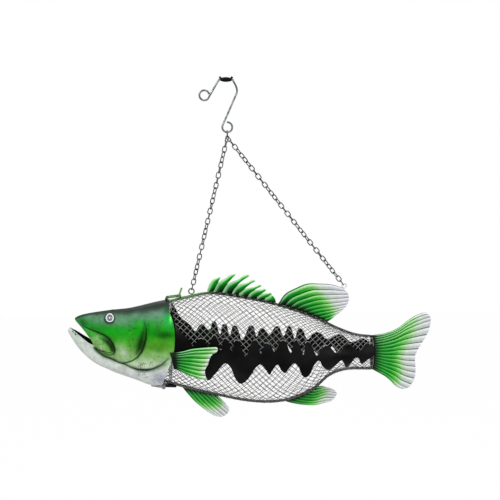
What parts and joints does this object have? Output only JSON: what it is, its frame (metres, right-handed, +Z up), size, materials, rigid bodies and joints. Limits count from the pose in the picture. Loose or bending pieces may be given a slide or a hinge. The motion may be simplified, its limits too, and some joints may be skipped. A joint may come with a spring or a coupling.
{
  "type": "hanging bird feeder",
  "caption": "Fish-shaped wire-mesh seed feeder with a hinged sheet-metal head, sheet fins, two hanging chains and a wire hook.",
  "frame": {"origin": "underside of the hook's saddle, where it bears on the branch or bracket that carries it", "axes": "+X from the head to the tail, +Z up, +Y to the fish's right"},
  "size_m": [0.5281, 0.116, 0.4916],
  "materials": {
    "hook_steel": "dark zinc-plated wire",
    "saddle_black": "dark grey-green enamel, semi-gloss",
    "chain_steel": "gunmetal, worn bright on the links",
    "eyelet_green": "green overspray on wire",
    "eyelet_white": "white enamel on wire",
    "frame_black": "black enamel with green overspray",
    "wire_cloth": "galvanised wire cloth, with green overspray along the back",
    "stripe_black": "near-black enamel, semi-gloss",
    "fin_green": "green enamel shaded dark at the root and white at the tips",
    "head_green": "green enamel shaded to a pale grey jaw, gloss",
    "eye_white": "white ring, dark iris and white glint, enamel",
    "hinge_black": "black enamel, worn",
    "pin_steel": "bare steel pin",
    "latch_green": "green overspray on wire"
  },
  "bodies": {
    "hanger": {"hook": "hook_steel", "hook_saddle": "saddle_black"},
    "link": {"joining_link": "chain_steel"},
    "chains": {"front_chain": "chain_steel", "rear_chain": "chain_steel"},
    "fish": {"front_eyelet": "eyelet_green", "rear_eyelet": "eyelet_white", "spine_rod": "frame_black", "keel_rod": "frame_black", "front_hoop": "frame_black", "tail_plate": "frame_black", "mesh_left": "wire_cloth", "mesh_right": "wire_cloth", "stripe_left": "stripe_black", "stripe_right": "stripe_black", "spiny_dorsal_fin": "fin_green", "soft_dorsal_fin": "fin_green", "tail_fin": "fin_green", "anal_fin": "fin_green", "pelvic_fin": "fin_green", "hinge_leaf_body": "hinge_black", "hinge_pin": "pin_steel", "latch_bracket": "latch_green"},
    "head": {"head_left": "head_green", "head_right": "head_green", "head_bulkhead": "hinge_black", "eye_left": "eye_white", "eye_right": "eye_white", "pectoral_fin_left": "fin_green", "pectoral_fin_right": "fin_green", "hinge_leaf_head": "hinge_black", "latch_keeper": "hinge_black"},
    "latch": {"latch_wire": "latch_green"}
  },
  "joints": [
    {"name": "link_swing", "type": "hinge", "parent": "hanger", "child": "link", "pos_m": [0.0016, 0, -0.0625], "axis": [0, 1, 0], "range_deg": [-25, 25]},
    {"name": "chain_sway", "type": "hinge", "parent": "link", "child": "chains", "pos_m": [0.0016, 0, -0.07255], "axis": [1, 0, 0], "range_deg": [-25, 25]},
    {"name": "fish_roll", "type": "hinge", "parent": "chains", "child": "fish", "pos_m": [-0.0501, 0, -0.29239], "axis": [0.9998, 0, 0.0222], "range_deg": [-20, 20]},
    {"name": "head_hinge", "type": "hinge", "parent": "fish", "child": "head", "pos_m": [-0.092, 0, -0.4354], "axis": [0, -1, 0], "range_deg": [0, 75]},
    {"name": "latch_pivot", "type": "hinge", "parent": "fish", "child": "latch", "pos_m": [-0.069, 0, -0.30246], "axis": [0, 1, 0], "range_deg": [0, 40]}
  ]
}
